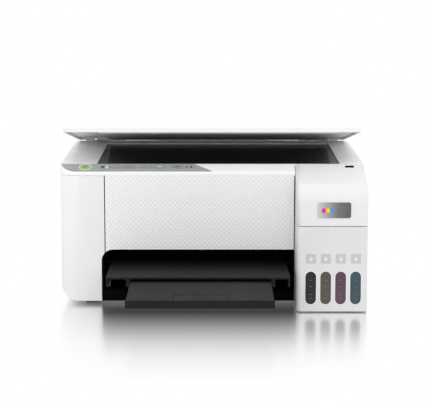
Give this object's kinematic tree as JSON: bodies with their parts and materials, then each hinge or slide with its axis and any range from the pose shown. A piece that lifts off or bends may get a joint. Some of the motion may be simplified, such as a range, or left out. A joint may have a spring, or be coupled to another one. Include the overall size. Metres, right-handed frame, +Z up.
{
  "type": "inkjet printer",
  "caption": "Desktop ink-tank inkjet printer with a flatbed scanner, hinged lid, sloping button panel, refillable side tanks and a sliding output tray.",
  "frame": {"origin": "centre of the bounding box's bottom face, with the output tray pulled out and the lid a little open", "axes": "+X to the printer's right seen from the front, +Y to its back, +Z up"},
  "size_m": [0.375, 0.5, 0.2168],
  "materials": {
    "white_plastic": "fine matt moulded",
    "textured_white_plastic": "moulded lattice texture",
    "grey_plastic": "satin",
    "black_plastic": "matt",
    "button_plastic": "satin",
    "scanner_glass": "polished",
    "foam": "smooth backed foam",
    "rubber": "matt",
    "steel": "brushed",
    "circuit_board": "solder resist",
    "absorber": "felt",
    "badge_plastic": "gloss",
    "ink_black": "translucent",
    "ink_yellow": "translucent",
    "ink_magenta": "translucent",
    "ink_cyan": "translucent"
  },
  "bodies": {
    "printer_body": {"base_tray": "white_plastic", "rubber_feet": "rubber", "left_side_cover": "white_plastic", "right_side_cover": "white_plastic", "rear_cover": "white_plastic", "output_bay_liner": "black_plastic", "ink_tank_housing": "white_plastic", "ink_tank_black": "ink_black", "ink_tank_yellow": "ink_yellow", "ink_tank_magenta": "ink_magenta", "ink_tank_cyan": "ink_cyan", "chassis_rail": "steel", "carriage_rod": "steel", "platen": "black_plastic", "waste_ink_pad": "absorber", "capping_station": "grey_plastic", "main_circuit_board": "circuit_board", "power_supply": "black_plastic", "power_inlet": "black_plastic", "drive_motors": "steel", "carriage_belt": "rubber", "case_screws": "steel", "rear_feed_tray": "black_plastic"},
    "scanner_unit": {"scanner_lower_case": "white_plastic", "scanner_top_frame": "white_plastic", "scanner_glass": "scanner_glass", "front_panel": "textured_white_plastic", "panel_housing": "white_plastic", "control_panel": "grey_plastic", "panel_circuit_board": "circuit_board", "scan_rod": "steel"},
    "scan_carriage": {"scan_head": "black_plastic"},
    "scan_pinion": {"scan_pinion": "grey_plastic"},
    "lid": {"lid_shell": "white_plastic", "document_mat": "foam", "lid_hinge_arms": "white_plastic"},
    "ink_cover": {"ink_cover": "white_plastic", "ink_cover_badge": "badge_plastic"},
    "print_carriage": {"print_carriage": "black_plastic"},
    "carriage_drive_pulley": {"carriage_drive_pulley": "grey_plastic"},
    "carriage_idler_pulley": {"carriage_idler_pulley": "grey_plastic"},
    "feed_roller": {"feed_roller": "rubber"},
    "exit_roller": {"exit_roller": "rubber"},
    "pickup_roller": {"pickup_roller": "rubber"},
    "output_tray": {"output_tray": "black_plastic"},
    "tray_extension": {"tray_extension": "black_plastic"},
    "paper_stopper": {"paper_stopper": "black_plastic"},
    "paper_support": {"paper_support": "white_plastic"},
    "feeder_guard": {"feeder_guard": "white_plastic"},
    "edge_guide": {"edge_guide": "black_plastic"},
    "power_button": {"power_button": "button_plastic"},
    "network_button": {"network_button": "button_plastic"},
    "info_button": {"info_button": "button_plastic"},
    "mono_copy_button": {"mono_copy_button": "button_plastic"},
    "colour_copy_button": {"colour_copy_button": "button_plastic"},
    "stop_button": {"stop_button": "button_plastic"},
    "tank_cap_black": {"tank_cap_black": "black_plastic"},
    "tank_cap_yellow": {"tank_cap_yellow": "black_plastic"},
    "tank_cap_magenta": {"tank_cap_magenta": "black_plastic"},
    "tank_cap_cyan": {"tank_cap_cyan": "black_plastic"}
  },
  "joints": [
    {"name": "scanner_lift", "type": "hinge", "parent": "printer_body", "child": "scanner_unit", "pos_m": [0, 0.225, 0.158], "axis": [-1, 0, 0], "range_deg": [0, 22]},
    {"name": "lid_hinge", "type": "hinge", "parent": "scanner_unit", "child": "lid", "pos_m": [0, 0.219, 0.1715], "axis": [-1, 0, 0], "range_deg": [-9, 60]},
    {"name": "scan_travel", "type": "slide", "parent": "scanner_unit", "child": "scan_carriage", "axis": [1, 0, 0], "range_m": [0, 0.27]},
    {"name": "scan_pinion_spin", "type": "hinge", "parent": "scan_carriage", "child": "scan_pinion", "pos_m": [-0.128, 0.1085, 0.1513], "axis": [0, 1, 0], "range_deg": [0, 3610]},
    {"name": "ink_cover_hinge", "type": "hinge", "parent": "printer_body", "child": "ink_cover", "pos_m": [0.145, -0.0331, 0.1696], "axis": [-1, 0, 0], "range_deg": [0, 100]},
    {"name": "output_tray_slide", "type": "slide", "parent": "printer_body", "child": "output_tray", "axis": [0, 1, 0], "range_m": [0, 0.078]},
    {"name": "extension_slide", "type": "slide", "parent": "output_tray", "child": "tray_extension", "axis": [0, 1, 0], "range_m": [0, 0.1165]},
    {"name": "stopper_flip", "type": "hinge", "parent": "tray_extension", "child": "paper_stopper", "pos_m": [-0.0135, -0.2375, 0.0428], "axis": [-1, 0, 0], "range_deg": [-80, 0]},
    {"name": "paper_support_slide", "type": "slide", "parent": "printer_body", "child": "paper_support", "axis": [0, 0.2181, 0.9759], "range_m": [0, 0.08]},
    {"name": "feeder_guard_flip", "type": "hinge", "parent": "printer_body", "child": "feeder_guard", "pos_m": [0, 0.227, 0.16095], "axis": [1, 0, 0], "range_deg": [0, 75]},
    {"name": "edge_guide_slide", "type": "slide", "parent": "printer_body", "child": "edge_guide", "axis": [-1, 0, 0], "range_m": [0, 0.055]},
    {"name": "carriage_travel", "type": "slide", "parent": "printer_body", "child": "print_carriage", "axis": [-1, 0, 0], "range_m": [0, 0.255]},
    {"name": "carriage_drive_spin", "type": "hinge", "parent": "printer_body", "child": "carriage_drive_pulley", "pos_m": [-0.16, 0.076, 0.122], "axis": [0, 1, 0], "range_deg": [0, 3000]},
    {"name": "carriage_idler_spin", "type": "hinge", "parent": "printer_body", "child": "carriage_idler_pulley", "pos_m": [0.16, 0.076, 0.122], "axis": [0, 1, 0], "range_deg": [0, 3000]},
    {"name": "feed_roller_spin", "type": "hinge", "parent": "printer_body", "child": "feed_roller", "pos_m": [0, 0.085, 0.066], "axis": [1, 0, 0], "continuous": true},
    {"name": "exit_roller_spin", "type": "hinge", "parent": "printer_body", "child": "exit_roller", "pos_m": [0, 0.001, 0.066], "axis": [1, 0, 0], "continuous": true},
    {"name": "pickup_roller_spin", "type": "hinge", "parent": "printer_body", "child": "pickup_roller", "pos_m": [0, 0.20922, 0.08644], "axis": [1, 0, 0], "continuous": true},
    {"name": "power_button_press", "type": "slide", "parent": "scanner_unit", "child": "power_button", "axis": [0, 0.342, -0.9397], "range_m": [0, 0.0008], "stiffness_N_per_m": 600, "springref_m": -0.0008},
    {"name": "network_button_press", "type": "slide", "parent": "scanner_unit", "child": "network_button", "axis": [0, 0.342, -0.9397], "range_m": [0, 0.0008], "stiffness_N_per_m": 600, "springref_m": -0.0008},
    {"name": "info_button_press", "type": "slide", "parent": "scanner_unit", "child": "info_button", "axis": [0, 0.342, -0.9397], "range_m": [0, 0.0008], "stiffness_N_per_m": 600, "springref_m": -0.0008},
    {"name": "mono_copy_button_press", "type": "slide", "parent": "scanner_unit", "child": "mono_copy_button", "axis": [0, 0.342, -0.9397], "range_m": [0, 0.0008], "stiffness_N_per_m": 600, "springref_m": -0.0008},
    {"name": "colour_copy_button_press", "type": "slide", "parent": "scanner_unit", "child": "colour_copy_button", "axis": [0, 0.342, -0.9397], "range_m": [0, 0.0008], "stiffness_N_per_m": 600, "springref_m": -0.0008},
    {"name": "stop_button_press", "type": "slide", "parent": "scanner_unit", "child": "stop_button", "axis": [0, 0.342, -0.9397], "range_m": [0, 0.0008], "stiffness_N_per_m": 600, "springref_m": -0.0008},
    {"name": "tank_cap_black_hinge", "type": "hinge", "parent": "printer_body", "child": "tank_cap_black", "pos_m": [0.11925, -0.051, 0.099], "axis": [-1, 0, 0], "range_deg": [0, 110]},
    {"name": "tank_cap_yellow_hinge", "type": "hinge", "parent": "printer_body", "child": "tank_cap_yellow", "pos_m": [0.13732, -0.051, 0.099], "axis": [-1, 0, 0], "range_deg": [0, 110]},
    {"name": "tank_cap_magenta_hinge", "type": "hinge", "parent": "printer_body", "child": "tank_cap_magenta", "pos_m": [0.15539, -0.051, 0.099], "axis": [-1, 0, 0], "range_deg": [0, 110]},
    {"name": "tank_cap_cyan_hinge", "type": "hinge", "parent": "printer_body", "child": "tank_cap_cyan", "pos_m": [0.17346, -0.051, 0.099], "axis": [-1, 0, 0], "range_deg": [0, 110]}
  ],
  "couplings": [
    {"joint": "scan_pinion_spin", "follows": "scan_travel", "rad_per_m": 232.56},
    {"joint": "carriage_drive_spin", "follows": "carriage_travel", "rad_per_m": 200},
    {"joint": "carriage_idler_spin", "follows": "carriage_travel", "rad_per_m": 200},
    {"joint": "exit_roller_spin", "follows": "feed_roller_spin", "ratio": 1.2},
    {"joint": "pickup_roller_spin", "follows": "feed_roller_spin", "ratio": -0.6}
  ]
}
